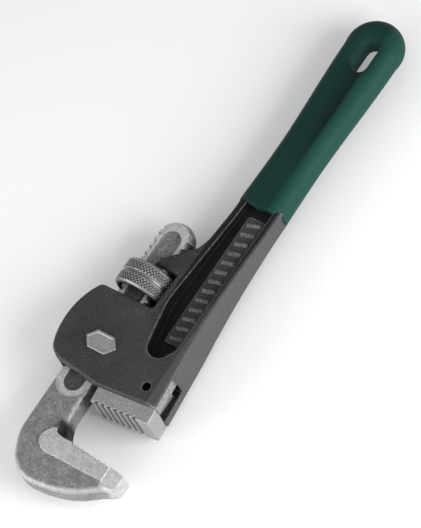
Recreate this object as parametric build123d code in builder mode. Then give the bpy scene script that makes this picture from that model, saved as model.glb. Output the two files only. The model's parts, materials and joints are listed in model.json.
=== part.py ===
"""Pipe wrench, 14 inch pattern, built as separate pieces.

Frame: the origin is the centre of the heel jaw's gripping face at mid-thickness.
+Y runs along the handle to its hang hole, +X to the handle's back edge, +Z through the thickness.
All sizes are in millimetres.
"""

import os
from math import atan, ceil, cos, pi, radians, sin, tan

from build123d import *

# ---- Driving dimensions: the shank axis and its thread ----
shank_x = -36.0  # the shank's axis, parallel to Y
shank_r = 12.2  # crest radius of the rack thread, half the shank's width
shank_t = 13.5  # thickness across the ground flats
thread_pitch = 5.0
thread_depth = 1.6
thread_flank = radians(14.5)
thread_land = 2.2  # tooth width at mid-depth
thread_low_y = 42.0  # the lowest rack gap
tail_y = 111.5  # centre of the round tail end
recess_w = 13.0  # long recess in each flat
recess_depth = 2.4
recess_low_y = -0.2
recess_top = 4.5  # the recess ends this far beyond the tail's centre
ground_r = 11.0  # round lower end of the ground flat
ground_y = 6.0
groove_arc = 110.0  # degrees round the shank's edge, past both flats
groove_lap = 1.0  # the groove's cutter reaches this far outside the shank
thread_gap_r = 0.3  # radial clearance between the nut's thread and the rack
ridge_end_gap = 1.3  # from the nut's thread to each end of its bore
ridge_lap = 0.6  # the thread's root is sunk this far into the nut

# ---- Adjusting nut ----
nut_r = 17.5
nut_len = 17.0
nut_low_y = 71.7
nut_groove_w = 2.4
nut_groove_depth = 0.9
nut_chamfer = 1.3
nut_mouth_depth = 1.8
nut_mouth_wall = 1.6
nut_wall_gap = 1.0  # between the nut and the window's back wall

# ---- Housing and handle ----
head_t = 26.6
grip_end_t = 15.0  # handle thickness inside the grip
taper_start_y = 58.0
window_low_y = 65.7
window_high_y = 91.4
collar_front = 20.0  # collar's front corners, ahead of the shank axis
collar_bulge = 7.1
collar_low_y = 17.0
heel_corner_x = 23.2
handle_front_x = -13.4
handle_back_x = 16.1
horn_tip_x = -34.5
horn_shoulder = (-17.0, 112.6)
casting_round = 2.4
collar_lean_low = 2.5  # the collar's front corners, against its nominal front
collar_lean_high = 1.0
collar_bulge_low = 1.0  # the bulge is fullest this far below the collar's middle
mouth_lip_x = 0.5
mouth_lip_rise = 4.0
collar_high_r = 4.0  # outline corner radii of the casting
collar_low_r = 12.0
mouth_lip_r = 5.0
horn_shoulder_r = 7.0
horn_root_r = 12.0
horn_tip_r = 4.0
window_r = 2.0
mouth_gap_front = 3.0  # passage walls, clear of the shank for its rocking
mouth_gap_back = 5.0
neck_gap = 1.5  # the same at the collar's top, beside the pivot
passage_gap_z = 0.6
cavity_low_y = 19.0
cavity_high_y = 60.0
cavity_front_x = 0.5  # the cavity's front wall, ahead of the collar's front
cavity_slope_low = 8.0
cavity_slope_high = 12.0
opening_lap = 1.0  # passages run this far into the window
horn_gap_back = 3.4
edge_mid = (19.2, 58.0)  # points along the handle's back edge
edge_waist = (17.2, 84.0)
edge_straight_y = 118.0
edge_mid_slope = -0.105
horn_root_rise = (2.2, 8.0)  # from the horn's shoulder to the handle's front edge
horn_tip_rise = (1.6, 5.0)
taper_blend_r = 120.0
taper_lead = 12.0  # the handle's own taper ends this far before the grip
overrun = 10.0  # how far a cut runs past the face it opens

# ---- Web pocket in each side of the handle ----
web_t = 6.0
pocket_low = (4.6, 36.2)
pocket_lap = 3.0  # the pocket runs on under the grip
pocket_front_x = -8.6
pocket_back_x = 11.3
pocket_front_step = (-10.0, 6.0)  # from the pocket's lowest point to its front corner
pocket_back_step = (1.6, 13.0)  # from the back edge's line and the lowest point
pocket_waist_step = (-3.2, -22.0)  # from the front edge's line and the pocket's middle
pocket_high_front = 0.8
pocket_high_back = 0.6
pocket_low_r = 8.0
pocket_front_r = 7.0
pocket_back_r = 14.0
pocket_waist_r = 40.0
pocket_high_r = 4.0
panel_low_y = 54.0
panel_inset = 5.6
panel_shift = 2.6  # the panel sits towards the back edge
panel_lead = 8.0
panel_height = 2.2
bar_count = 13
bar_w = 2.0
bar_slant = 14.0
bar_height = 0.8

# ---- Heel jaw ----
heel_angle = 5.2  # the gripping face leans open to the handle's cross axis
heel_t = 23.3
heel_front = 16.6
heel_nose = 23.4
heel_height = 10.1
heel_seat_gap = 0.12
heel_round = 1.0
heel_tooth_start = -15.6
tooth_pitch = 4.4
tooth_depth = 1.9
tooth_lean = 0.28  # where a groove's root lies, as a share of the pitch
tooth_land = 0.94  # share of the pitch the groove opens over
tooth_count = 7
tongue_front_x = 2.0
tongue_recess = 5.0  # its back face sits below the housing's back edge
tongue_top_y = 28.5
socket_w = 10.7
socket_top_y = 33.0
socket_gap = 0.15
pin_x = 9.7
pin_y = 21.4
pin_r = 2.8
pin_gap = 0.04
pin_recess = 4.0
pin_chamfer = 0.4

# ---- Hook jaw ----
hook_t = 15.4
pad_t = 18.4
tip_t = 13.0
hook_round = 3.4
hook_face_y = -28.6  # gripping line at x = 0
hook_angle = -4.5
hook_tooth_start = -12.6
hook_outer_start_y = -30.0
hook_outer = [(-45.4, -41.6), (-41.0, -49.8), (-35.0, -55.9), (-29.0, -58.8), (-19.6, -59.5)]
hook_belly = [(-2.9, -56.7), (10.7, -50.8), (21.4, -44.0)]
hook_tip_x = 27.0
hook_tip_low_y = -40.7
hook_tip_corner = (24.4, -42.6)
throat_mid = (-21.2, -21.0)
throat_y = -10.0
throat_x = -13.4
pad_low_front = (17.2, -39.8)
pad_low_back = (-23.0, -40.0)
pad_end = [(-29.2, -38.3), (-32.0, -34.6), (-31.6, -29.6), (-29.0, -25.6)]
pad_corner = (-26.0, -24.2)
pad_top_mid = (-21.0, -27.4)
facet_x = 17.6
facet_step = 0.6
tip_thin = 1.04  # the facet's slope, carried past the tip
hook_end_slope = (0.85, 0.53)
throat_start_slope = (-1, 0.12)
pad_top_start_slope = (0.3, -1)
pad_top_end_slope = (1, 0.1)
pad_end_slope = (1, 0.2)
hollow = (-22.6, -23.6)
hollow_r = 6.0
hollow_rise = 3.6  # how far the hollow's centre lies outside the hook's face

# ---- Springs ----
leaf_w = 9.0
leaf_t = 0.8
leaf_gap = 0.4
leaf_low_y = 22.0
leaf_root = 3.6  # half-length of the flat part under the rivet
leaf_curl = 1.2
rivet_r = 1.6
rivet_len = 8.0
rivet_head_r = 3.0
rivet_head_t = 1.2
rivet_gap = 0.25
coil_r = 3.4
coil_wire = 1.1
coil_turns = 4
coil_y = 33.0
coil_free_gap = 0.6
coil_pocket_r = 4.6
coil_pocket_wall = 3.6

# ---- Grip ----
grip_low_y = 152.0
grip_t = 18.4
grip_round = 8.7
grip_start_front_x = -15.7
grip_start_back_x = 17.7
grip_waist_rise = 44.0
grip_waist_front_x = -14.6
grip_waist_back_x = 17.1
grip_swell_y = 271.0
grip_swell_r = 18.3
grip_swell_x = 1.1
grip_swell_mid_y = 275.8
hang_y = 266.6
hang_w = 10.8
hang_len = 22.4
hang_x = 1.4
hang_lining = 1.6
hang_round = 2.4
grip_start_slope = -0.03
tang_cover = 3.0  # the grip laps this far over the handle's full section
tang_wall = 4.0
tang_wall_z = 2.6
core_end_gap = 4.6

# ---- Badge ----
badge_x = -31.5
badge_y = 32.5
badge_w = 22.0
badge_h = 12.0
badge_t = 1.0
badge_point = 5.0
badge_rim = 1.4
badge_rim_height = 0.4

# ---- Telling faces and edges apart ----
tiny = 0.01
wall_normal_z = 0.05

# ---- Values worked out from the sizes above ----
back_wall_x = shank_x + nut_r + nut_wall_gap
mouth_front_x = shank_x - shank_r - mouth_gap_front
mouth_back_x = shank_x + shank_r + mouth_gap_back
neck_front_x = shank_x - shank_r - neck_gap
neck_back_x = shank_x + shank_r + neck_gap
shank_back_x = shank_x + shank_r
slot_t = shank_t + 2 * passage_gap_z
mouth_t = hook_t + 2 * passage_gap_z
collar_x = shank_x - collar_front
collar_nose_x = collar_x - collar_bulge
collar_mid_y = (collar_low_y + window_low_y) / 2
coil_floor_x = collar_nose_x + coil_pocket_wall
horn_wall_x = shank_x + shank_r + horn_gap_back
grip_end_y = grip_swell_mid_y + grip_swell_r
tang_low_y = grip_low_y + tang_cover
taper_end_y = grip_low_y - taper_lead
front_straight_y = grip_low_y - taper_lead / 2
pocket_high_y = grip_low_y + tang_cover + pocket_lap
panel_high_y = grip_low_y - panel_lead
grip_waist_y = grip_low_y + grip_waist_rise
tang_end_y = grip_end_y - core_end_gap
tang_r = (grip_waist_back_x - grip_waist_front_x) / 2 - tang_wall
tang_t = grip_t - 2 * tang_wall_z
nut_high_y = nut_low_y + nut_len
nut_mid_y = nut_low_y + nut_len / 2
thread_mid_r = shank_r - thread_depth / 2
gap_mid_w = thread_pitch - thread_land
lead_angle = atan(thread_pitch / (2 * pi * thread_mid_r))
flank_step = thread_depth / 2 * tan(thread_flank)
nut_bore_r = shank_r + thread_gap_r
ridge_crest_r = shank_r - thread_depth + thread_gap_r
ridge_low_limit = nut_low_y + nut_mouth_depth + ridge_end_gap
ridge_first = ceil((ridge_low_limit - thread_low_y) / thread_pitch)
ridge_low_y = thread_low_y + ridge_first * thread_pitch
ridge_turns = int((nut_high_y - ridge_end_gap - ridge_low_y) / thread_pitch)
ridge_half_w = thread_land / 2
ridge_root_r = nut_bore_r + ridge_lap
heel_slope = tan(radians(heel_angle))
hook_slope = tan(radians(hook_angle))
heel_plane = Plane(origin=(0, 0, 0), x_dir=(cos(radians(heel_angle)), sin(radians(heel_angle)), 0))
hook_plane = Plane(
    origin=(0, hook_face_y, 0), x_dir=(cos(radians(hook_angle)), sin(radians(hook_angle)), 0)
)
pivot_y = cavity_high_y - leaf_root - leaf_gap
leaf_x = mouth_back_x - leaf_gap - leaf_t / 2
leaf_rest_x = shank_back_x + leaf_gap + leaf_t / 2
pivot_plane = Plane(origin=(mouth_back_x, pivot_y, 0), x_dir=(0, 1, 0), z_dir=(1, 0, 0))


def seat_y(x):
    """Height of the heel jaw's seat on the housing at x."""
    return (heel_height + heel_seat_gap) / cos(radians(heel_angle)) + x * heel_slope


def grip_line_y(x):
    """Height of the hook jaw's gripping line at x."""
    return hook_face_y + x * hook_slope


def cut_teeth(plane, start_x, into, lean, width):
    """Cut the saw-tooth grooves of a jaw, from the given plane's X axis towards into (+1 or -1)."""
    with BuildSketch(plane.offset(-width / 2)) as grooves:
        for index in range(tooth_count):
            x = start_x + index * tooth_pitch
            root = (x + lean * tooth_pitch, into * tooth_depth)
            Polygon((x, -into * overrun), (x, 0), root, (x + tooth_land * tooth_pitch, 0),
                    (x + tooth_land * tooth_pitch, -into * overrun), align=None)
    extrude(grooves.sketch, amount=width, mode=Mode.SUBTRACT)


def save(builder, label):
    """Label a finished piece and write it to its own file."""
    builder.part.label = label
    export_step(builder.part, f"parts/{label}.step")


os.makedirs("parts", exist_ok=True)

# ---- handle_housing: I-beam handle, collar, window, horn and heel seat in one casting ----
with BuildPart() as handle_housing:
    with BuildSketch(Plane.XY.offset(-head_t / 2)) as casting_outline:
        with BuildLine():
            collar_front_low = (collar_x - collar_lean_low, collar_low_y)
            collar_front_high = (collar_x + collar_lean_high, window_low_y)
            mouth_corner = (mouth_front_x - mouth_lip_x, seat_y(mouth_back_x) + mouth_lip_rise)
            seat_corner = (heel_corner_x, seat_y(heel_corner_x))
            horn_root = (horn_shoulder[0] + horn_root_rise[0], horn_shoulder[1] + horn_root_rise[1])
            horn_corner = (horn_tip_x + horn_tip_rise[0], window_high_y + horn_tip_rise[1])
            ThreePointArc(
                collar_front_high,
                (collar_nose_x, collar_mid_y - collar_bulge_low),
                collar_front_low,
            )
            Line(collar_front_low, mouth_corner)
            Line(mouth_corner, (mouth_back_x, seat_y(mouth_back_x)))
            Line((mouth_back_x, seat_y(mouth_back_x)), seat_corner)
            Line(seat_corner, edge_mid)
            Spline(
                edge_mid,
                edge_waist,
                (handle_back_x, edge_straight_y),
                tangents=[(edge_mid_slope, 1), (0, 1)],
            )
            Line((handle_back_x, edge_straight_y), (handle_back_x, tang_low_y))
            Line((handle_back_x, tang_low_y), (handle_front_x, tang_low_y))
            Line((handle_front_x, tang_low_y), (handle_front_x, front_straight_y))
            Line((handle_front_x, front_straight_y), horn_root)
            Line(horn_root, horn_shoulder)
            Line(horn_shoulder, horn_corner)
            Line(horn_corner, (horn_tip_x, window_high_y))
            Line((horn_tip_x, window_high_y), (back_wall_x, window_high_y))
            Line((back_wall_x, window_high_y), (back_wall_x, window_low_y))
            Line((back_wall_x, window_low_y), collar_front_high)
        make_face()
        rounded_corners = [
            (collar_front_high, collar_high_r),
            (collar_front_low, collar_low_r),
            (mouth_corner, mouth_lip_r),
            (horn_shoulder, horn_shoulder_r),
            (horn_root, horn_root_r),
            (horn_corner, horn_tip_r),
            ((back_wall_x, window_low_y), window_r),
        ]
        for corner, radius in rounded_corners:
            fillet(casting_outline.vertices().sort_by_distance(corner)[0], radius=radius)
    extrude(amount=head_t)
    # The casting thins from the head to the grip.
    with BuildSketch(Plane.YZ.offset(collar_nose_x - overrun)) as side_profile:
        with BuildLine():
            Polyline(
                (-overrun, -head_t / 2),
                (taper_start_y, -head_t / 2),
                (taper_end_y, -grip_end_t / 2),
                (tang_low_y + overrun, -grip_end_t / 2),
                (tang_low_y + overrun, grip_end_t / 2),
                (taper_end_y, grip_end_t / 2),
                (taper_start_y, head_t / 2),
                (-overrun, head_t / 2),
                close=True,
            )
        make_face()
        blends = side_profile.vertices().filter_by_position(Axis.Y, -head_t, head_t)
        fillet(blends.filter_by(lambda v: -1 < v.X < tang_low_y), radius=taper_blend_r)
    extrude(amount=2 * (overrun - collar_nose_x), mode=Mode.INTERSECT)
    side_walls = [face for face in handle_housing.faces() if abs(face.normal_at().Z) < wall_normal_z]
    rims = ShapeList(side_walls).edges().filter_by(Axis.Z, reverse=True)
    fillet(rims.filter_by(lambda e: (e @ 0.5).Y < tang_low_y - tiny), radius=casting_round)
    # Tang inside the grip.
    with BuildSketch(Plane.XY.offset(-tang_t / 2)):
        with Locations((hang_x, (tang_low_y - tang_r + tang_end_y) / 2)):
            SlotOverall(tang_end_y - tang_low_y + tang_r, 2 * tang_r, rotation=90)
    extrude(amount=tang_t)

    # Passage for the shank: wide below, close at the collar's top where the shank rocks.
    with BuildSketch(Plane.XY.offset(-mouth_t / 2)):
        with BuildLine():
            Polyline(
                (mouth_front_x, 0),
                (mouth_front_x, cavity_low_y),
                (collar_x - cavity_front_x, cavity_low_y + cavity_slope_low),
                (collar_x - cavity_front_x, cavity_high_y - cavity_slope_high),
                (neck_front_x, cavity_high_y),
                (neck_front_x, window_low_y + opening_lap),
                (neck_back_x, window_low_y + opening_lap),
                (neck_back_x, cavity_high_y),
                (mouth_back_x, cavity_high_y),
                (mouth_back_x, 0),
                close=True,
            )
        make_face()
    extrude(amount=mouth_t, mode=Mode.SUBTRACT)
    # Slot between the horn's two cheeks for the shank's tail.
    with BuildSketch(Plane.XY.offset(-slot_t / 2)):
        with BuildLine():
            Polyline(
                (horn_tip_x - overrun, window_high_y - opening_lap),
                (horn_wall_x, window_high_y - opening_lap),
                (horn_wall_x, horn_shoulder[1] + overrun),
                (horn_tip_x - overrun, horn_shoulder[1] + overrun),
                close=True,
            )
        make_face()
    extrude(amount=slot_t, mode=Mode.SUBTRACT)
    # Pocket for the coil spring, drilled forward from the passage.
    with BuildSketch(Plane(origin=(coil_floor_x, coil_y, 0), x_dir=(0, 1, 0), z_dir=(1, 0, 0))):
        Circle(coil_pocket_r)
    extrude(amount=mouth_front_x - coil_floor_x, mode=Mode.SUBTRACT)
    # Hole for the spring rivet, from the passage's back wall.
    with BuildSketch(pivot_plane):
        Circle(rivet_r)
    extrude(amount=rivet_len, mode=Mode.SUBTRACT)

    # Socket for the heel jaw's tongue, open to the back edge and to the seat.
    with BuildSketch(Plane.XY.offset(-socket_w / 2)):
        with BuildLine():
            Polyline(
                (tongue_front_x - socket_gap, 0),
                (heel_corner_x + overrun, 0),
                (heel_corner_x + overrun, socket_top_y),
                (tongue_front_x - socket_gap, socket_top_y),
                close=True,
            )
        make_face()
    extrude(amount=socket_w, mode=Mode.SUBTRACT)
    with BuildSketch(Plane.XY.offset(-head_t / 2)):
        with Locations((pin_x, pin_y)):
            Circle(pin_r + pin_gap)
    extrude(amount=head_t, mode=Mode.SUBTRACT)

    # Web pockets: both sides, with a raised panel of plain bars on each floor.
    pocket_mid_y = (pocket_low[1] + pocket_high_y) / 2
    pocket_corner = (pocket_low[0] + pocket_front_step[0], pocket_low[1] + pocket_front_step[1])
    pocket_back_corner = (pocket_back_x + pocket_back_step[0], pocket_low[1] + pocket_back_step[1])
    pocket_waist = (pocket_front_x + pocket_waist_step[0], pocket_mid_y + pocket_waist_step[1])
    with BuildSketch(Plane.XY.offset(web_t / 2)) as pocket:
        with BuildLine():
            Polyline(
                pocket_low,
                pocket_back_corner,
                (pocket_back_x - pocket_high_back, pocket_high_y),
                (pocket_front_x + pocket_high_front, pocket_high_y),
                pocket_waist,
                pocket_corner,
                close=True,
            )
        make_face()
        pocket_corners = [
            (pocket_low, pocket_low_r),
            (pocket_corner, pocket_front_r),
            (pocket_back_corner, pocket_back_r),
            (pocket_waist, pocket_waist_r),
        ]
        for corner, radius in pocket_corners:
            fillet(pocket.vertices().sort_by_distance(corner)[0], radius=radius)
        fillet(pocket.vertices().group_by(Axis.Y)[-1], radius=pocket_high_r)
    pockets = extrude(amount=head_t, mode=Mode.PRIVATE)
    add(pockets, mode=Mode.SUBTRACT)
    add(mirror(pockets, about=Plane.XY, mode=Mode.PRIVATE), mode=Mode.SUBTRACT)
    panel_x = (pocket_front_x + pocket_back_x) / 2 + panel_shift
    panel_w = pocket_back_x - pocket_front_x - 2 * panel_inset
    panel_len = panel_high_y - panel_low_y
    bar_step = panel_len / bar_count
    with BuildSketch(Plane.XY.offset(web_t / 2)):
        with Locations((panel_x, panel_low_y + panel_len / 2)):
            RectangleRounded(panel_w + 2 * bar_w, panel_len + bar_w, bar_w)
    panels = extrude(amount=panel_height, mode=Mode.PRIVATE)
    with BuildSketch(Plane.XY.offset(web_t / 2)):
        for index in range(bar_count):
            with Locations((panel_x, panel_low_y + (index + 0.5) * bar_step)):
                Rectangle(panel_w, bar_w, rotation=bar_slant)
    bars = extrude(amount=panel_height + bar_height, mode=Mode.PRIVATE)
    for raised in (panels, bars):
        add(raised)
        add(mirror(raised, about=Plane.XY, mode=Mode.PRIVATE))

    # Hang hole, lined by the grip.
    with BuildSketch(Plane.XY.offset(-head_t / 2)):
        with Locations((hang_x, hang_y)):
            SlotOverall(hang_len + 2 * hang_lining, hang_w + 2 * hang_lining, rotation=90)
    extrude(amount=head_t, mode=Mode.SUBTRACT)

save(handle_housing, "handle_housing")

# ---- heel_jaw: toothed block with a tongue up into the housing ----
with BuildPart() as heel_jaw:
    with BuildSketch(heel_plane.offset(-heel_t / 2)):
        with Locations(((heel_nose - heel_front) / 2, heel_height / 2)):
            Rectangle(heel_nose + heel_front, heel_height)
    extrude(amount=heel_t)
    fillet(heel_jaw.edges().filter_by(Axis.Z).sort_by(Axis.Y)[:2], radius=heel_round)
    cut_teeth(heel_plane, heel_tooth_start, 1, 1 - tooth_lean, heel_t)
    with BuildSketch(Plane.XY.offset(-socket_w / 2 + socket_gap)):
        with BuildLine():
            tongue_back_x = heel_corner_x - tongue_recess
            Polyline(
                (tongue_front_x, heel_height / 2),
                (tongue_back_x, heel_height / 2),
                (tongue_back_x, tongue_top_y),
                (tongue_front_x, tongue_top_y),
                close=True,
            )
        make_face()
    extrude(amount=socket_w - 2 * socket_gap)
    with BuildSketch(Plane.XY.offset(-head_t / 2)):
        with Locations((pin_x, pin_y)):
            Circle(pin_r + pin_gap)
    extrude(amount=head_t, mode=Mode.SUBTRACT)
save(heel_jaw, "heel_jaw")

# ---- heel_jaw_pin: sunk cross pin ----
with BuildPart() as heel_jaw_pin:
    with BuildSketch(Plane.XY.offset(-head_t / 2 + pin_recess)):
        with Locations((pin_x, pin_y)):
            Circle(pin_r)
    extrude(amount=head_t - 2 * pin_recess)
    chamfer(heel_jaw_pin.edges().filter_by(GeomType.CIRCLE), length=pin_chamfer)
save(heel_jaw_pin, "heel_jaw_pin")

# ---- hook_forging: the hook with its pads, before the shank is joined on ----
with BuildPart() as hook_forging:
    with BuildSketch(Plane.XY.offset(-hook_t / 2)):
        with BuildLine():
            Polyline(
                (shank_back_x, throat_y),
                (shank_back_x, ground_y + ground_r / 2),
                (shank_x - shank_r, ground_y + ground_r / 2),
                (shank_x - shank_r, hook_outer_start_y),
            )
            Spline(
                (shank_x - shank_r, hook_outer_start_y),
                *hook_outer,
                *hook_belly,
                hook_tip_corner,
                tangents=[(0, -1), hook_end_slope],
            )
            Polyline(
                hook_tip_corner,
                (hook_tip_x, hook_tip_low_y),
                (hook_tip_x, grip_line_y(hook_tip_x)),
                (throat_x, grip_line_y(throat_x)),
            )
            Spline(
                (throat_x, grip_line_y(throat_x)),
                throat_mid,
                (shank_back_x, throat_y),
                tangents=[throat_start_slope, (0, 1)],
            )
        make_face()
    extrude(amount=hook_t)
    outer_walls = [face for face in hook_forging.faces() if abs(face.normal_at().Z) < wall_normal_z]
    outer_rims = ShapeList(outer_walls).edges().filter_by(Axis.Z, reverse=True)
    outer_rims = outer_rims.filter_by(lambda e: (e @ 0.5).Y < ground_y)
    rounded_rims = outer_rims.filter_by(lambda e: (e @ 0.5).X < throat_x or (e @ 0.5).Y < hook_tip_low_y)
    fillet(rounded_rims, radius=hook_round)
    # Hollow at the inner corner of each side.
    hollow_z = hook_t / 2 + hollow_rise
    with Locations((*hollow, hollow_z), (*hollow, -hollow_z)):
        Sphere(hollow_r, mode=Mode.SUBTRACT)
    # Pads behind the teeth, thinning past the last tooth to the tip.
    with BuildSketch(Plane.XY.offset(-pad_t / 2)):
        with BuildLine():
            Spline(
                pad_corner,
                pad_top_mid,
                (throat_x, grip_line_y(throat_x)),
                tangents=[pad_top_start_slope, pad_top_end_slope],
            )
            Polyline(
                (throat_x, grip_line_y(throat_x)),
                (hook_tip_x, grip_line_y(hook_tip_x)),
                (hook_tip_x, pad_low_front[1]),
                pad_low_front,
                pad_low_back,
            )
            Spline(pad_low_back, *pad_end, pad_corner, tangents=[(-1, 0), pad_end_slope])
        make_face()
    extrude(amount=pad_t)
    tip_half = (tip_t - (pad_t - tip_t) * tip_thin) / 2
    with BuildSketch(Plane.XZ.offset(-hook_tip_low_y + 2 * overrun)):
        for side in (1, -1):
            Polygon(
                (facet_x, side * (pad_t / 2 - facet_step)),
                (hook_tip_x + overrun, side * tip_half),
                (hook_tip_x + overrun, side * pad_t),
                (facet_x, side * pad_t),
                align=None,
            )
    extrude(amount=-6 * overrun, mode=Mode.SUBTRACT)
    cut_teeth(hook_plane, hook_tooth_start, -1, tooth_lean, pad_t)

# ---- rack_groove: one thread groove, cut across the shank's back edge ----
half_arc = radians(groove_arc / 2)
groove_start = Plane(
    origin=(0, 0, 0),
    x_dir=(cos(half_arc), -sin(half_arc) * sin(lead_angle), sin(half_arc) * cos(lead_angle)),
    z_dir=(-sin(half_arc), -cos(half_arc) * sin(lead_angle), cos(half_arc) * cos(lead_angle)),
)
with BuildPart() as rack_groove:
    with BuildSketch(groove_start):
        outer_r = shank_r + groove_lap
        root_half = gap_mid_w / 2 - flank_step
        outer_half = gap_mid_w / 2 + flank_step + groove_lap * tan(thread_flank)
        Polygon(
            (shank_r - thread_depth, -root_half),
            (outer_r, -outer_half),
            (outer_r, outer_half),
            (shank_r - thread_depth, root_half),
            align=None,
        )
    revolve(axis=Axis((0, 0, 0), (0, cos(lead_angle), sin(lead_angle))), revolution_arc=groove_arc)

# ---- hook_jaw: round-edged threaded shank and hook in one forging ----
with BuildPart() as hook_jaw:
    with BuildSketch(Plane.XY):
        with BuildLine():
            Polyline((shank_x, 0), (shank_back_x, 0), (shank_back_x, tail_y))
            RadiusArc((shank_back_x, tail_y), (shank_x, tail_y + shank_r), -shank_r)
            Line((shank_x, tail_y + shank_r), (shank_x, 0))
        make_face()
    revolve(axis=Axis((shank_x, 0, 0), (0, 1, 0)))
    with BuildSketch(Plane.XY.offset(-shank_t / 2)):
        with Locations((shank_x, tail_y / 2)):
            Rectangle(2 * shank_r + overrun, tail_y + 4 * overrun)
    extrude(amount=shank_t, mode=Mode.INTERSECT)
    add(hook_forging.part)
    # Ground flats above the forged neck, then the long recess in each.
    with BuildSketch(Plane.XY.offset(shank_t / 2)):
        with Locations((shank_x, ground_y)):
            Circle(ground_r)
            Rectangle(2 * (shank_r + groove_lap), 2 * overrun, align=(Align.CENTER, Align.MIN))
    flats = extrude(amount=overrun, mode=Mode.PRIVATE)
    with BuildSketch(Plane.XY.offset(shank_t / 2 - recess_depth)):
        with Locations((shank_x, (recess_low_y + tail_y + recess_top) / 2)):
            SlotOverall(tail_y + recess_top - recess_low_y, recess_w, rotation=90)
    recesses = extrude(amount=overrun, mode=Mode.PRIVATE)
    for cut in (flats, recesses):
        add(cut, mode=Mode.SUBTRACT)
        add(mirror(cut, about=Plane.XY, mode=Mode.PRIVATE), mode=Mode.SUBTRACT)
    # Rack: grooves across both narrow edges, tilted to the thread's lead, half a pitch apart.
    groove_total = int((tail_y + shank_r / 2 - thread_low_y) / thread_pitch) + 1
    groove_ys = [thread_low_y + index * thread_pitch for index in range(groove_total)]
    with Locations([(shank_x, y, 0) for y in groove_ys]):
        add(rack_groove.part, mode=Mode.SUBTRACT)
    with Locations([Location((shank_x, y + thread_pitch / 2, 0), (0, 180, 0)) for y in groove_ys]):
        add(rack_groove.part, mode=Mode.SUBTRACT)
save(hook_jaw, "hook_jaw")

# ---- adjusting_nut: knurled ring with an inner thread, hollow at its lower face ----
nut_plane = Plane(origin=(shank_x, nut_low_y, 0), x_dir=(1, 0, 0), z_dir=(0, 1, 0))
with BuildPart() as nut_thread:
    with BuildLine() as thread_path:
        Helix(
            pitch=thread_pitch,
            height=ridge_turns * thread_pitch,
            radius=thread_mid_r,
            center=(0, 0, ridge_low_y - nut_low_y),
        )
    path_start = thread_path.line @ 0
    with BuildSketch(Plane(origin=path_start, x_dir=(1, 0, 0), z_dir=thread_path.line % 0)):
        crest_in = ridge_crest_r - thread_mid_r
        root_out = ridge_root_r - thread_mid_r
        crest_half_w = ridge_half_w + crest_in * tan(thread_flank)
        root_half_w = ridge_half_w + root_out * tan(thread_flank)
        Polygon(
            (crest_in, -crest_half_w),
            (root_out, -root_half_w),
            (root_out, root_half_w),
            (crest_in, crest_half_w),
            align=None,
        )
    sweep(path=thread_path.line, is_frenet=True)

with BuildPart() as adjusting_nut:
    with BuildSketch(Plane.XY):
        with BuildLine():
            groove_low_y = nut_mid_y - nut_groove_w / 2
            groove_high_y = nut_mid_y + nut_groove_w / 2
            nut_out_x = shank_x + nut_r
            groove_x = nut_out_x - nut_groove_depth
            bore_x = shank_x + nut_bore_r
            mouth_x = nut_out_x - nut_chamfer - nut_mouth_wall
            Polyline(
                (bore_x, nut_low_y + nut_mouth_depth),
                (mouth_x, nut_low_y + nut_mouth_depth),
                (mouth_x, nut_low_y),
                (nut_out_x - nut_chamfer, nut_low_y),
                (nut_out_x, nut_low_y + nut_chamfer),
                (nut_out_x, groove_low_y - nut_groove_depth),
                (groove_x, groove_low_y),
                (groove_x, groove_high_y),
                (nut_out_x, groove_high_y + nut_groove_depth),
                (nut_out_x, nut_high_y - nut_chamfer),
                (nut_out_x - nut_chamfer, nut_high_y),
                (bore_x, nut_high_y),
                close=True,
            )
        make_face()
    revolve(axis=Axis((shank_x, 0, 0), (0, 1, 0)))
    add(nut_plane * nut_thread.part)
save(adjusting_nut, "adjusting_nut")

# ---- flat_spring: leaf riveted to the passage's back wall, bearing on the shank ----
with BuildPart() as flat_spring:
    with BuildSketch(Plane.XY.offset(-leaf_w / 2)):
        with BuildLine():
            Line((leaf_x, pivot_y + leaf_root), (leaf_x, pivot_y - leaf_root))
            Spline(
                (leaf_x, pivot_y - leaf_root),
                (leaf_rest_x, leaf_low_y + 2 * leaf_root),
                tangents=[(0, -1), (0, -1)],
            )
            Line((leaf_rest_x, leaf_low_y + 2 * leaf_root), (leaf_rest_x + leaf_curl, leaf_low_y))
        trace(line_width=leaf_t)
    extrude(amount=leaf_w)
    with BuildSketch(pivot_plane.offset(-overrun)):
        Circle(rivet_r + rivet_gap / 2)
    extrude(amount=overrun, mode=Mode.SUBTRACT)
save(flat_spring, "flat_spring")

# ---- spring_rivet: holds the leaf's root ----
with BuildPart() as spring_rivet:
    with BuildSketch(pivot_plane.offset(rivet_len)):
        Circle(rivet_r)
    extrude(amount=-rivet_len - leaf_gap - leaf_t - rivet_gap)
    with BuildSketch(pivot_plane.offset(-leaf_gap - leaf_t - rivet_gap)):
        Circle(rivet_head_r)
    extrude(amount=-rivet_head_t)
    fillet(spring_rivet.edges().group_by(Axis.X)[0], radius=rivet_head_t / 2)
save(spring_rivet, "spring_rivet")

# ---- coil_spring: rests on its pocket's floor and bears on the shank's front ----
coil_len = shank_x - shank_r - coil_free_gap - coil_floor_x - coil_wire
coil_plane = Plane(origin=(coil_floor_x + coil_wire / 2, coil_y, 0), x_dir=(0, 1, 0), z_dir=(1, 0, 0))
with BuildPart() as coil_wound:
    with BuildLine() as coil_path:
        Helix(pitch=coil_len / coil_turns, height=coil_len, radius=coil_r)
    with BuildSketch(Plane(origin=coil_path.line @ 0, z_dir=coil_path.line % 0)):
        Circle(coil_wire / 2)
    sweep(path=coil_path.line, is_frenet=True)
with BuildPart() as coil_spring:
    add(coil_plane * coil_wound.part)
save(coil_spring, "coil_spring")

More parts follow.
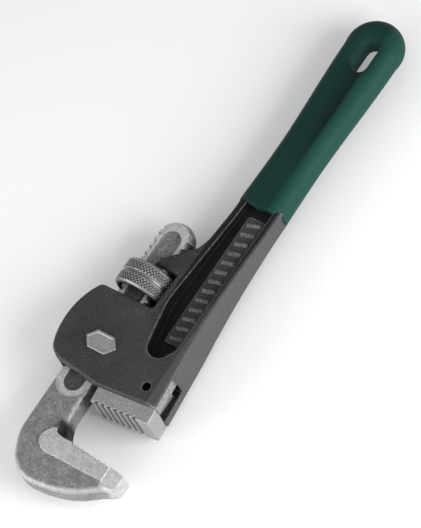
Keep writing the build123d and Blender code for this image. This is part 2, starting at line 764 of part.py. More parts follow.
# ---- grip: soft sleeve over the tang ----
with BuildPart() as grip:
    with BuildSketch(Plane.XY.offset(-grip_t / 2)):
        with BuildLine():
            grip_end = (grip_swell_x, grip_end_y)
            grip_swell_front = (grip_swell_x - grip_swell_r, grip_swell_y)
            grip_swell_back = (grip_swell_x + grip_swell_r, grip_swell_y)
            grip_front = (grip_start_front_x, grip_low_y)
            grip_back = (grip_start_back_x, grip_low_y)
            Line(grip_front, grip_back)
            Spline(
                grip_back,
                (grip_waist_back_x, grip_waist_y),
                grip_swell_back,
                tangents=[(grip_start_slope, 1), (0, 1)],
            )
            ThreePointArc(grip_swell_back, grip_end, grip_swell_front)
            Spline(
                grip_swell_front,
                (grip_waist_front_x, grip_waist_y),
                grip_front,
                tangents=[(0, -1), (grip_start_slope, -1)],
            )
        make_face()
    extrude(amount=grip_t)
    grip_rims = grip.edges().filter_by(Axis.Z, reverse=True)
    fillet(grip_rims.filter_by(lambda e: (e @ 0.5).Y > grip_low_y + tiny), radius=grip_round)
    with BuildSketch(Plane.XY.offset(-grip_t / 2)):
        with Locations((hang_x, hang_y)):
            SlotOverall(hang_len, hang_w, rotation=90)
    extrude(amount=grip_t, mode=Mode.SUBTRACT)
    hang_rims = grip.edges().filter_by_position(Axis.Z, grip_t / 2 - tiny, grip_t / 2 + tiny)
    hang_rims += grip.edges().filter_by_position(Axis.Z, -grip_t / 2 - tiny, -grip_t / 2 + tiny)
    hang_rims = hang_rims.filter_by(lambda e: (e @ 0.5).Y > hang_y - hang_len)
    hang_rims = hang_rims.filter_by(lambda e: abs((e @ 0.5).X - hang_x) < hang_w)
    fillet(hang_rims, radius=hang_round)
    add(handle_housing.part, mode=Mode.SUBTRACT)
save(grip, "grip")

# ---- badge: plain raised-rim plate on the collar ----
with BuildPart() as badge:
    with BuildSketch(Plane.XY.offset(head_t / 2)) as badge_outline:
        with Locations((badge_x, badge_y)):
            Polygon(
                (-badge_w / 2, 0),
                (-badge_w / 2 + badge_point, -badge_h / 2),
                (badge_w / 2 - badge_point, -badge_h / 2),
                (badge_w / 2, 0),
                (badge_w / 2 - badge_point, badge_h / 2),
                (-badge_w / 2 + badge_point, badge_h / 2),
                align=None,
            )
    extrude(amount=badge_t)
    with BuildSketch(Plane.XY.offset(head_t / 2 + badge_t)):
        add(badge_outline.sketch.moved(Location((0, 0, -head_t / 2))))
        offset(amount=-badge_rim, mode=Mode.SUBTRACT)
    extrude(amount=badge_rim_height)
save(badge, "badge")
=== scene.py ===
"""Pipe wrench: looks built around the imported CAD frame. Metres, in the CAD frame."""

import json
import math

import bpy
import numpy as np
from mathutils import Matrix, Vector


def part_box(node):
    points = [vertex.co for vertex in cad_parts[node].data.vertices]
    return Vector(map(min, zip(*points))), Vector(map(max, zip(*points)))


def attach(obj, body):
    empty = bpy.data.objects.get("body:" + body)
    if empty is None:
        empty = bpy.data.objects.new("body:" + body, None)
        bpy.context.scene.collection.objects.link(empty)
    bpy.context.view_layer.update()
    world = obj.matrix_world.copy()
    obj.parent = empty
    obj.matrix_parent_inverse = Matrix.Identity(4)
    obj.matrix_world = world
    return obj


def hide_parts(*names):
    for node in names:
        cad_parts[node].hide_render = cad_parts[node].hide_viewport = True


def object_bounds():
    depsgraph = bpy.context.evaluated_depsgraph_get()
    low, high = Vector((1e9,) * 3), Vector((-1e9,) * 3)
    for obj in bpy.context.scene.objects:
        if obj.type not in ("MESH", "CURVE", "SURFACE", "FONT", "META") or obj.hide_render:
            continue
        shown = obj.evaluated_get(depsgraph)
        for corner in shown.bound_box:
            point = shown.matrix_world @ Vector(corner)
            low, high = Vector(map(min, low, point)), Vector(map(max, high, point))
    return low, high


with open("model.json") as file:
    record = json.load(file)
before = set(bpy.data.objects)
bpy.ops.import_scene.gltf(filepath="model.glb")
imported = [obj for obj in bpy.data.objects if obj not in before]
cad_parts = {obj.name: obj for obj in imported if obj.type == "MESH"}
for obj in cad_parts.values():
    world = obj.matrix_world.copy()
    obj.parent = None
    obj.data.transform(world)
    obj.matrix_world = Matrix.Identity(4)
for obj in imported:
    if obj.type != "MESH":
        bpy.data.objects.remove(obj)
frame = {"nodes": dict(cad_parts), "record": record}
cad_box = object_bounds()
NODES = frame["nodes"]
MOUNTS = {mount["name"]: mount for mount in frame["record"]["mounts"]}
HANG_HOLE = Vector(MOUNTS["hang_hole"]["pos_m"])
HEEL_LEAN = math.radians(5.2)
BEVEL_SAMPLES = 6
SOFT = 0.0003  # the usual softening at the end of a painted area


# ---- Material tools ----
def new_material(name):
    """An empty material with its node tree and shader."""
    mat = bpy.data.materials.new(name)
    mat.use_nodes = True
    tree = mat.node_tree
    tree.nodes.clear()
    out = tree.nodes.new("ShaderNodeOutputMaterial")
    shader = tree.nodes.new("ShaderNodeBsdfPrincipled")
    tree.links.new(shader.outputs["BSDF"], out.inputs["Surface"])
    return mat, tree, shader


def part_coords(tree):
    """The X, Y and Z of a point in the part's own metres."""
    coords = tree.nodes.new("ShaderNodeTexCoord")
    split = tree.nodes.new("ShaderNodeSeparateXYZ")
    tree.links.new(coords.outputs["Object"], split.inputs["Vector"])
    return split.outputs["X"], split.outputs["Y"], split.outputs["Z"]


def noise(tree, scale, detail, roughness, distortion=0.0, stretch=None):
    """Noise in the part's own metres; scale is features per metre."""
    coords = tree.nodes.new("ShaderNodeTexCoord")
    source = coords.outputs["Object"]
    if stretch:
        mapping = tree.nodes.new("ShaderNodeMapping")
        mapping.inputs["Scale"].default_value = stretch
        tree.links.new(source, mapping.inputs["Vector"])
        source = mapping.outputs["Vector"]
    node = tree.nodes.new("ShaderNodeTexNoise")
    node.inputs["Scale"].default_value = scale
    node.inputs["Detail"].default_value = detail
    node.inputs["Roughness"].default_value = roughness
    node.inputs["Distortion"].default_value = distortion
    tree.links.new(source, node.inputs["Vector"])
    return node.outputs["Fac"]


def grey(level):
    """A neutral colour."""
    return (level, level, level)


def ramp(tree, source, stops):
    """A ramp over a 0 to 1 value; each stop is a place and a colour or a grey level."""
    node = tree.nodes.new("ShaderNodeValToRGB")
    elements = node.color_ramp.elements
    while len(elements) < len(stops):
        elements.new(0.5)
    for element, (place, colour) in zip(elements, stops):
        element.position = place
        if isinstance(colour, (int, float)):
            colour = grey(colour)
        element.color = (*colour, 1.0)
    tree.links.new(source, node.inputs["Fac"])
    return node.outputs["Color"]


def mix(tree, factor, a, b, amount=1.0):
    """Mix two colours by the factor times the amount; all but the amount may be sockets."""
    node = tree.nodes.new("ShaderNodeMix")
    node.data_type = "RGBA"
    # The mix node holds inputs for every data type: 0 is the factor, 6 and 7 are the colours.
    factor_input, a_input, b_input = node.inputs[0], node.inputs[6], node.inputs[7]
    if amount != 1.0:
        factor = maths(tree, "MULTIPLY", factor, amount)
    for value, socket in ((factor, factor_input), (a, a_input), (b, b_input)):
        if isinstance(value, bpy.types.NodeSocket):
            tree.links.new(value, socket)
        elif socket == factor_input:
            socket.default_value = value
        else:
            socket.default_value = (*value, 1.0)
    return node.outputs[2]


def maths(tree, operation, a, b=None):
    """A math node on sockets or numbers."""
    node = tree.nodes.new("ShaderNodeMath")
    node.operation = operation
    for index, value in enumerate((a, b)):
        if value is None:
            continue
        if isinstance(value, bpy.types.NodeSocket):
            tree.links.new(value, node.inputs[index])
        else:
            node.inputs[index].default_value = value
    return node.outputs[0]


def product(tree, first, *others):
    """All the values multiplied together."""
    for value in others:
        first = maths(tree, "MULTIPLY", first, value)
    return first


def inverse(tree, value):
    """One minus the value."""
    return maths(tree, "SUBTRACT", 1.0, value)


def distance(tree, across, along):
    """How far a point is from an axis, from its two offsets."""
    squares = maths(tree, "ADD", product(tree, across, across), product(tree, along, along))
    return maths(tree, "SQRT", squares)


def rise(tree, value, start, end):
    """0 at start rising to 1 at end, where end may be the lower of the two."""
    node = tree.nodes.new("ShaderNodeMapRange")
    node.inputs["From Min"].default_value = start
    node.inputs["From Max"].default_value = end
    tree.links.new(value, node.inputs["Value"])
    return node.outputs["Result"]


def over(tree, value, low, soft):
    """1 above low, falling to 0 over soft below it."""
    return rise(tree, value, low - soft, low)


def under(tree, value, high, soft):
    """1 below high, falling to 0 over soft above it."""
    return rise(tree, value, high + soft, high)


def band(tree, value, low, high, soft):
    """1 between low and high, falling to 0 over soft on each side."""
    return product(tree, over(tree, value, low, soft), under(tree, value, high, soft))


def edge_mask(tree, radius, low, high):
    """Bright on edges: how far the rounded normal leans from the true one, from low to high."""
    bevel = tree.nodes.new("ShaderNodeBevel")
    bevel.samples = BEVEL_SAMPLES
    bevel.inputs["Radius"].default_value = radius
    geometry = tree.nodes.new("ShaderNodeNewGeometry")
    dot = tree.nodes.new("ShaderNodeVectorMath")
    dot.operation = "DOT_PRODUCT"
    tree.links.new(bevel.outputs["Normal"], dot.inputs[0])
    tree.links.new(geometry.outputs["Normal"], dot.inputs[1])
    return rise(tree, inverse(tree, dot.outputs["Value"]), low, high)


def bump(tree, shader, layers, round_edges=0.0):
    """Stack bump layers (height socket, distance, strength) onto the shader's normal."""
    normal = None
    if round_edges:
        bevel = tree.nodes.new("ShaderNodeBevel")
        bevel.samples = BEVEL_SAMPLES
        bevel.inputs["Radius"].default_value = round_edges
        normal = bevel.outputs["Normal"]
    for height, reach, strength in layers:
        node = tree.nodes.new("ShaderNodeBump")
        node.inputs["Distance"].default_value = reach
        node.inputs["Strength"].default_value = strength
        tree.links.new(height, node.inputs["Height"])
        if normal is not None:
            tree.links.new(normal, node.inputs["Normal"])
        normal = node.outputs["Normal"]
    tree.links.new(normal, shader.inputs["Normal"])


def dress(obj, mat):
    """Give every face of the object one material."""
    obj.data.materials.clear()
    obj.data.materials.append(mat)
    for polygon in obj.data.polygons:
        polygon.material_index = 0


# ---- Materials ----
# Painted shade for the side pockets.
POCKET_SHADE = (0.0030, 0.0030, 0.0033)
# Painted shade for the pockets' trench and the heel jaw's slot.
SHADE_BLACK = grey(0.003)
# Painted shade in the pin's hole.
PIN_HOLE_SHADE = grey(0.002)
FLECK_GREY = (0.115, 0.116, 0.118)
BAR_GREY = grey(0.16)
# Painted light on the handle's back edge.
BACK_LIGHT_GREY = grey(0.10)
# A painted highlight on the cheek beside the slot.
CHEEK_HIGHLIGHT_GREY = (0.30, 0.30, 0.295)
BARE_RIM_GREY = grey(0.24)


def enamel_material():
    """Black enamel over a sandy casting: flecks, worn rims, painted shade in the pockets, slot and pin hole,
    and painted light on the back edge and cheek.
    """
    mat, tree, shader = new_material("enamel_black")
    x, y, z = part_coords(tree)
    depth = maths(tree, "ABSOLUTE", z)
    cloud = noise(tree, scale=45, detail=5, roughness=0.6)
    speck = noise(tree, scale=1500, detail=3, roughness=0.7)
    grain = noise(tree, scale=700, detail=6, roughness=0.65)
    base = ramp(tree, cloud, [(0.3, (0.017, 0.017, 0.018)), (0.7, (0.036, 0.036, 0.037))])
    base = mix(tree, ramp(tree, speck, [(0.52, 0.0), (0.68, 0.75)]), base, FLECK_GREY)

    # The side pockets are painted dark as shade, apart from their raised panel, and darkest, as a painted
    # shadow, in the trench round it.
    pocket_depth, pocket_low_x, pocket_high_x = 0.0112, -0.0130, 0.0132
    pocket_low_y, pocket_high_y = 0.034, 0.170
    trench_depth, panel_depth = 0.0046, 0.0068
    panel_low_x, panel_high_x = -0.0030, 0.0108
    pocket = product(
        tree,
        under(tree, depth, pocket_depth, soft=0.0022),
        band(tree, x, pocket_low_x, pocket_high_x, soft=0.0008),
        band(tree, y, pocket_low_y, pocket_high_y, soft=0.002),
    )
    panel = product(
        tree,
        band(tree, depth, trench_depth, panel_depth, SOFT),
        band(tree, x, panel_low_x, panel_high_x, SOFT),
    )
    pocket_shade_amount = 0.95
    pocket_shade = maths(tree, "MINIMUM", product(tree, pocket, pocket_shade_amount), inverse(tree, panel))
    base = mix(tree, pocket_shade, base, POCKET_SHADE)
    trench_shade = product(tree, pocket, under(tree, depth, trench_depth, soft=0.0004))
    base = mix(tree, trench_shade, base, SHADE_BLACK, amount=0.5)

    # The panel's raised bars are rubbed pale.
    bar_low_depth, bar_high_depth = 0.00575, 0.0062
    bar_low_x, bar_high_x, bar_low_y, bar_high_y = -0.0035, 0.0112, 0.050, 0.150
    bars = product(
        tree,
        band(tree, depth, bar_low_depth, bar_high_depth, soft=0.0001),
        band(tree, x, bar_low_x, bar_high_x, SOFT),
        band(tree, y, bar_low_y, bar_high_y, soft=0.001),
        ramp(tree, grain, [(0.38, 0.15), (0.58, 0.85)]),
    )
    base = mix(tree, bars, base, BAR_GREY)

    # The heel jaw's slot is painted dark inside as shade, and the handle's back edge outside the slot is
    # painted lighter as light falling on it.
    slot_depth, slot_end_y, back_edge_x = 0.00542, 0.0336, 0.0158
    socket = product(tree, under(tree, depth, slot_depth, soft=0.0001), under(tree, y, slot_end_y, SOFT))
    base = mix(tree, socket, base, SHADE_BLACK, amount=0.9)
    back_edge_light = product(tree, over(tree, x, back_edge_x, soft=0.0012), inverse(tree, socket))
    base = mix(tree, back_edge_light, base, BACK_LIGHT_GREY, amount=0.45)

    # The hole over the heel jaw's pin is painted black as shade.
    pin_low, pin_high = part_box("heel_jaw_pin")
    pin_x, pin_y = (pin_low.x + pin_high.x) / 2, (pin_low.y + pin_high.y) / 2
    pin_hole_r = 0.00288
    from_pin = distance(tree, maths(tree, "SUBTRACT", x, pin_x), maths(tree, "SUBTRACT", y, pin_y))
    base = mix(tree, under(tree, from_pin, pin_hole_r, soft=0.00008), base, PIN_HOLE_SHADE)

    # The cheek beside the slot is painted brighter on the badge's side, a painted highlight mottled by the
    # grain.
    cheek_low_z, cheek_high_z, cheek_top_y, cheek_x = 0.0056, 0.0122, 0.031, 0.0185
    cheek_highlight = product(
        tree,
        band(tree, z, cheek_low_z, cheek_high_z, soft=0.0004),
        under(tree, y, cheek_top_y, soft=0.0015),
        over(tree, x, cheek_x, soft=0.0005),
        ramp(tree, grain, [(0.38, 0.25), (0.56, 0.85)]),
    )
    base = mix(tree, cheek_highlight, base, CHEEK_HIGHLIGHT_GREY)

    # Rims are worn, but not the corners deep in the pockets.
    unworn_depth = 0.0044
    wear = product(
        tree,
        edge_mask(tree, radius=0.0018, low=0.01, high=0.22),
        ramp(tree, grain, [(0.36, 0.05), (0.60, 0.75)]),
        inverse(tree, under(tree, depth, unworn_depth, soft=0.0004)),
    )
    base = mix(tree, wear, base, BARE_RIM_GREY)

    tree.links.new(base, shader.inputs["Base Color"])
    tree.links.new(ramp(tree, grain, [(0.3, 0.36), (0.7, 0.58)]), shader.inputs["Roughness"])
    shader.inputs["Specular IOR Level"].default_value = 0.26
    shader.inputs["Coat Weight"].default_value = 0.06
    shader.inputs["Coat Roughness"].default_value = 0.30
    orange_peel = noise(tree, scale=420, detail=3, roughness=0.5)
    lumps = noise(tree, scale=130, detail=4, roughness=0.55)
    layers = [(lumps, 0.0012, 0.30), (orange_peel, 0.0008, 0.45), (speck, 0.0003, 0.7)]
    bump(tree, shader, layers, round_edges=0.0010)
    return mat


DUST_GREEN = (0.020, 0.066, 0.054)
# Painted shade and painted light for the grip's faces.
CHANNEL_SHADE_GREEN = (0.0014, 0.0055, 0.0052)
SHADED_GREEN = (0.0014, 0.0075, 0.0062)
RIDGE_LIGHT_GREEN = (0.0150, 0.0760, 0.0600)
RUBBED_GREEN = (0.026, 0.100, 0.080)


def grip_material():
    """Dark green dipped sleeve: soft cloudy colour, fine dust, rubbed high spots, painted shade along each
    face and a painted highlight on its back ridge.
    """
    mat, tree, shader = new_material("grip_green")
    x, y, z = part_coords(tree)
    cloud = noise(tree, scale=38, detail=4, roughness=0.5, stretch=(1.0, 0.35, 1.0))
    fine = noise(tree, scale=1300, detail=3, roughness=0.6)
    base = ramp(tree, cloud, [(0.28, (0.0048, 0.0345, 0.0265)), (0.72, (0.0075, 0.0500, 0.0390))])
    base = mix(tree, ramp(tree, fine, [(0.50, 0.0), (0.72, 0.22)]), base, DUST_GREEN)

    # Each face is painted darker as shade along its channel and up to the back ridge, and the ridge is
    # painted lighter as a highlight.
    channel_low_x, channel_high_x = -0.0100, 0.0062
    channel_low_y, channel_high_y, face_depth = 0.222, 0.267, 0.0068
    shade_start_x, shade_full_x = 0.0085, 0.0055
    ridge_low_x, ridge_high_x = 0.0065, 0.0110
    face = over(tree, maths(tree, "ABSOLUTE", z), face_depth, soft=0.0012)
    channel = product(
        tree,
        rise(tree, x, channel_low_x, channel_high_x),
        under(tree, x, channel_high_x, soft=0.0016),
        over(tree, y, channel_low_y, soft=0.046),
        under(tree, y, channel_high_y, soft=0.009),
    )
    base = mix(tree, product(tree, channel, face), base, CHANNEL_SHADE_GREEN, amount=0.72)
    shaded = product(tree, face, rise(tree, x, shade_start_x, shade_full_x))
    base = mix(tree, shaded, base, SHADED_GREEN, amount=0.34)
    ridge = rise(tree, x, ridge_low_x, ridge_high_x)
    base = mix(tree, ridge, base, RIDGE_LIGHT_GREEN, amount=0.42)
    edges = edge_mask(tree, radius=0.003, low=0.02, high=0.6)
    base = mix(tree, edges, base, RUBBED_GREEN, amount=0.22)

    tree.links.new(base, shader.inputs["Base Color"])
    tree.links.new(ramp(tree, fine, [(0.3, 0.50), (0.7, 0.66)]), shader.inputs["Roughness"])
    shader.inputs["Specular IOR Level"].default_value = 0.13
    shader.inputs["Sheen Weight"].default_value = 0.015
    shader.inputs["Sheen Roughness"].default_value = 0.5
    skin = noise(tree, scale=160, detail=3, roughness=0.5)
    bump(tree, shader, [(skin, 0.0008, 0.22), (fine, 0.00016, 0.5)])
    return mat


PIT_BLACK = grey(0.02)
WORN_STEEL = (0.62, 0.62, 0.60)
STEEL_METALLIC = 0.75
# A painted highlight on the hook's lower rim.
HOOK_RIM_HIGHLIGHT = (0.60, 0.60, 0.59)
GROUND_GRAIN_GREY = (0.25, 0.25, 0.245)
# Painted shade for the hook's groove and hollow, the heel's tooth grooves, and the nut's knurl grooves and
# mouth.
HOOK_GROOVE_SHADE = grey(0.05)
HOLLOW_SHADE = grey(0.012)
TOOTH_GROOVE_SHADE = grey(0.02)
KNURL_GROOVE_SHADE = grey(0.012)
MOUTH_SHADE = grey(0.02)


# Each finish takes a steel's colour, edge wear and two noises, and gives back the colour and the wear.
def hook_finish(tree, base, wear, cloud, fine):
    """The hook's ground pads, flats and tip, its painted rim highlight, and painted shade in its groove and
    hollow.
    """
    x, y, z = part_coords(tree)
    depth = maths(tree, "ABSOLUTE", z)
    pad_depth, pad_top_y = 0.0084, 0.0
    flat_low_depth, flat_high_depth, flat_low_y = 0.00668, 0.00682, -0.0046
    rim_low_depth, rim_high_depth, rim_top_y = 0.0046, 0.0070, -0.034
    tip_x, tip_low_y, tip_high_y = 0.0172, -0.0425, 0.0
    groove_depth, groove_low_y, groove_high_y = 0.0062, -0.002, 0.086
    hollow_low_x, hollow_high_x, hollow_low_y, hollow_high_y = -0.0265, -0.0185, -0.0265, -0.0195
    hollow_soft = 0.0035

    # The lower rim is painted lighter as a highlight.
    rim = product(
        tree,
        band(tree, depth, rim_low_depth, rim_high_depth, soft=0.0008),
        under(tree, y, rim_top_y, soft=0.012),
    )
    base = mix(tree, rim, base, HOOK_RIM_HIGHLIGHT, amount=0.36)

    pad = product(tree, over(tree, depth, pad_depth, soft=0.0004), under(tree, y, pad_top_y, soft=0.001))
    flats = product(
        tree,
        band(tree, depth, flat_low_depth, flat_high_depth, soft=0.00005),
        over(tree, y, flat_low_y, soft=0.001),
    )
    tip = product(tree, over(tree, x, tip_x, soft=0.0006), band(tree, y, tip_low_y, tip_high_y, soft=0.0015))
    clean = maths(tree, "MAXIMUM", maths(tree, "MAXIMUM", pad, flats), tip)
    spots = noise(tree, scale=260, detail=3, roughness=0.6)
    clean = product(tree, clean, ramp(tree, spots, [(0.30, 0.55), (0.44, 1.0)]))
    ground_tone = ramp(tree, cloud, [(0.3, (0.54, 0.54, 0.53)), (0.7, (0.68, 0.68, 0.67))])
    grain = ramp(tree, fine, [(0.36, 0.35), (0.60, 0.0)])
    base = mix(tree, clean, base, mix(tree, grain, ground_tone, GROUND_GRAIN_GREY))

    # The recessed groove is painted darker as shade.
    groove = product(
        tree,
        under(tree, depth, groove_depth, SOFT),
        band(tree, y, groove_low_y, groove_high_y, soft=0.004),
    )
    base = mix(tree, groove, base, HOOK_GROOVE_SHADE, amount=0.55)
    # The hollow where the neck meets the pad is painted near-black as shade, and kept free of edge wear.
    hollow = product(
        tree,
        band(tree, x, hollow_low_x, hollow_high_x, hollow_soft),
        band(tree, y, hollow_low_y, hollow_high_y, hollow_soft),
    )
    base = mix(tree, product(tree, hollow, inverse(tree, pad)), base, HOLLOW_SHADE, amount=0.92)
    return base, product(tree, wear, inverse(tree, hollow))


def heel_finish(tree, base, wear, cloud, fine):
    """The heel jaw's tooth grooves, just under its gripping face, painted dark as shade."""
    x, y, z = part_coords(tree)
    low_x, high_x, half_width = -0.0150, 0.0152, 0.0113
    groove_start, groove_end, groove_soft = 0.0012, 0.0021, 0.0010
    along_y = product(tree, y, math.cos(HEEL_LEAN))
    along_x = product(tree, x, math.sin(HEEL_LEAN))
    below_face = maths(tree, "SUBTRACT", along_y, along_x)
    # The tooth grooves are painted dark as shade.
    grooves = product(
        tree,
        under(tree, maths(tree, "ABSOLUTE", z), half_width, soft=0.0002),
        band(tree, x, low_x, high_x, soft=0.0005),
        band(tree, below_face, groove_start, groove_end, groove_soft),
    )
    return mix(tree, grooves, base, TOOTH_GROOVE_SHADE, amount=0.9), wear


def nut_finish(tree, base, wear, cloud, fine):
    """The nut's knurl grooves and mouth, painted dark as shade; its middle groove and its ends stay plain.
    """
    x, y, z = part_coords(tree)
    low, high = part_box("adjusting_nut")
    axis_x, mid_y = (low.x + high.x) / 2, (low.y + high.y) / 2
    plain_half, end_margin = 0.0013, 0.0015
    knurl_low_r, knurl_high_r, knurl_soft = 0.0158, 0.0168, 0.0005
    mouth_low_r, mouth_high_r, mouth_soft = 0.009, 0.0151, 0.0004
    radius = distance(tree, maths(tree, "SUBTRACT", x, axis_x), z)
    # The knurl grooves are painted dark as shade.
    grooves = product(
        tree,
        band(tree, radius, knurl_low_r, knurl_high_r, knurl_soft),
        inverse(tree, band(tree, y, mid_y - plain_half, mid_y + plain_half, SOFT)),
        band(tree, y, low.y + end_margin, high.y - end_margin, SOFT),
    )
    base = mix(tree, grooves, base, KNURL_GROOVE_SHADE, amount=0.92)
    # The mouth and the bore inside it are painted dark as shade.
    mouth = band(tree, radius, mouth_low_r, mouth_high_r, mouth_soft)
    return mix(tree, mouth, base, MOUTH_SHADE, amount=0.8), wear


def steel_material(name, dark, light, roughness, pit=0.35, cloud_scale=90, fine_scale=1400,
                   edge_amount=0.6, finish=None):
    """Steel with cloudy tone, fine grain, pits and brighter edges; finish adds one part's own areas."""
    mat, tree, shader = new_material(name)
    cloud = noise(tree, scale=cloud_scale, detail=6, roughness=0.62, distortion=0.3)
    fine = noise(tree, scale=fine_scale, detail=5, roughness=0.65)
    pits = noise(tree, scale=620, detail=4, roughness=0.65)
    grain_tone = tuple(0.42 * channel for channel in dark)
    base = ramp(tree, cloud, [(0.30, dark), (0.70, light)])
    base = mix(tree, ramp(tree, fine, [(0.36, 0.60), (0.62, 0.0)]), base, grain_tone)
    base = mix(tree, ramp(tree, pits, [(0.30, 0.80), (0.38, 0.0)]), base, PIT_BLACK)
    wear = product(tree, edge_mask(tree, radius=0.0010, low=0.01, high=0.28), edge_amount)
    if finish:
        base, wear = finish(tree, base, wear, cloud, fine)
    base = mix(tree, wear, base, WORN_STEEL)
    tree.links.new(base, shader.inputs["Base Color"])
    shader.inputs["Metallic"].default_value = STEEL_METALLIC
    smooth, rough = roughness
    tree.links.new(ramp(tree, fine, [(0.3, smooth), (0.7, rough)]), shader.inputs["Roughness"])
    pit_shape = ramp(tree, pits, [(0.28, 0.0), (0.42, 1.0)])
    bump(tree, shader, [(pit_shape, 0.0004, pit), (fine, 0.00018, 0.55)], round_edges=0.0007)
    return mat


enamel = enamel_material()
grip_green = grip_material()
forged = steel_material("forged_steel", (0.230, 0.230, 0.226), (0.430, 0.430, 0.420), (0.48, 0.72),
                        pit=0.6, cloud_scale=190, fine_scale=620, edge_amount=0.32,
                        finish=hook_finish)
ground = steel_material("ground_steel", (0.42, 0.42, 0.415), (0.55, 0.55, 0.54), (0.34, 0.52),
                        pit=0.2, cloud_scale=50, finish=heel_finish)
bright = steel_material("bright_steel", (0.20, 0.20, 0.198), (0.33, 0.33, 0.32), (0.34, 0.50),
                        pit=0.1, edge_amount=0.5, finish=nut_finish)
dark_steel = steel_material("dark_steel", (0.03, 0.03, 0.032), (0.07, 0.07, 0.072), (0.40, 0.60))
# The pin is made near-black as painted shade, like the hole round it.
pin_steel = steel_material("pin_steel", grey(0.004), grey(0.010), (0.55, 0.75), edge_amount=0.0)
badge_metal = steel_material("badge_metal", (0.40, 0.40, 0.395), (0.55, 0.55, 0.54), (0.32, 0.50),
                             pit=0.3)

for node, mat in (
    ("handle_housing", enamel), ("grip", grip_green), ("hook_jaw", forged), ("heel_jaw", ground),
    ("adjusting_nut", bright), ("heel_jaw_pin", pin_steel), ("spring_rivet", dark_steel),
    ("flat_spring", dark_steel), ("coil_spring", dark_steel), ("badge", badge_metal),
):
    dress(NODES[node], mat)


# ---- Detailed pieces ----
def mesh_object(name, verts, faces, mat):
    """A linked, smooth-shaded object from plain lists."""
    mesh = bpy.data.meshes.new(name)
    mesh.from_pydata(verts, [], faces)
    mesh.update()
    mesh.polygons.foreach_set("use_smooth", [True] * len(mesh.polygons))
    obj = bpy.data.objects.new(name, mesh)
    bpy.context.scene.collection.objects.link(obj)
    obj.data.materials.append(mat)
    return obj


def knurled_nut():
    """The adjusting nut with cut diamond knurling on two bands, a plain groove and its inner thread."""
    low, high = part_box("adjusting_nut")
    axis_x, axis_z = (low.x + high.x) / 2, (low.z + high.z) / 2
    outer = (high.x - low.x) / 2
    length = high.y - low.y
    mid = length / 2
    nick, step = 0.0002, 0.0003  # the small corner cuts at the mouth and rims, and at the groove
    lip = 0.0013
    lip_rise = 0.55
    mouth_r, mouth_depth = outer - 0.0029, 0.0018
    groove_r, groove_half = outer - 0.0010, 0.0012
    knurl_count, knurl_depth, knurl_rows, columns_per_knurl = 46, 0.00085, 28, 10
    knurl_flat = 0.30  # the share of each diamond's half-width that is left uncut
    bore, crest, pitch, turns = 0.0125, 0.0109, 0.005, 2
    first_y = low.y + 0.0053
    ridge_half, ridge_flank, thread_rows, lead_in = 0.00145, 0.0004, 56, 0.3
    columns = knurl_count * columns_per_knurl
    angle = np.arange(columns) / columns * 2 * math.pi
    rows = []

    def ring(y, radius):
        rows.append((np.full(columns, y), np.broadcast_to(radius, columns)))

    def plain_rings(*rings):
        for y, radius in rings:
            ring(y, radius)

    def slanted_cut(y, slant):
        """How deep one family of slanted knurl cuts goes at each column, 0 to 1."""
        place = (angle * knurl_count / (2 * math.pi) + y * slant) % 1.0
        from_middle = np.abs(place - 0.5) * 2
        return np.clip((from_middle - knurl_flat) / (1 - knurl_flat), 0, 1)

    def knurled(start, end):
        slant = knurl_count / (2 * math.pi * outer)
        for y in np.linspace(start, end, knurl_rows):
            fade = max(min(1.0, (y - start) / step, (end - y) / step), 0.0)
            cut = np.maximum(slanted_cut(y, slant), slanted_cut(y, -slant))
            ring(low.y + y, outer - knurl_depth * cut * fade)

    plain_rings(
        (low.y + mouth_depth, bore),
        (low.y + mouth_depth, mouth_r - nick),
        (low.y + mouth_depth - nick, mouth_r),
        (low.y + nick, mouth_r + nick / 2),
        (low.y, mouth_r + nick * 2),
        (low.y, outer - lip),
        (low.y + nick * 2, outer - lip * lip_rise),
        (low.y + lip, outer - nick),
    )
    knurled(lip + nick / 2, mid - groove_half - step)
    plain_rings(
        (low.y + mid - groove_half, groove_r + step),
        (low.y + mid - groove_half + step, groove_r),
        (low.y + mid + groove_half - step, groove_r),
        (low.y + mid + groove_half, groove_r + step),
    )
    knurled(mid + groove_half + step, length - lip - nick / 2)
    plain_rings(
        (high.y - lip, outer - nick),
        (high.y - nick * 2, outer - lip * lip_rise),
        (high.y, outer - lip),
        (high.y, bore + 0.0005),
    )
    for y in np.linspace(high.y - nick * 2, low.y + mouth_depth + step, thread_rows):
        along = (y - first_y) / pitch + angle / (2 * math.pi)
        nearest = np.round(along)
        phase = np.abs(along - nearest) * pitch
        ridge = np.clip((ridge_half - phase) / ridge_flank, 0, 1)
        on_thread = (along > -lead_in) & (nearest >= 0) & (nearest <= turns)
        ring(y, bore - (bore - crest) * ridge * on_thread)

    verts = []
    for ys, radii in rows:
        verts.extend(zip(axis_x + radii * np.cos(angle), ys, axis_z + radii * np.sin(angle)))
    faces = []
    for row in range(len(rows)):
        start, next_start = row * columns, ((row + 1) % len(rows)) * columns
        for column in range(columns):
            after = (column + 1) % columns
            faces.append((start + column, next_start + column, next_start + after, start + after))
    return mesh_object("nut_knurled", [tuple(map(float, v)) for v in verts], faces, bright)


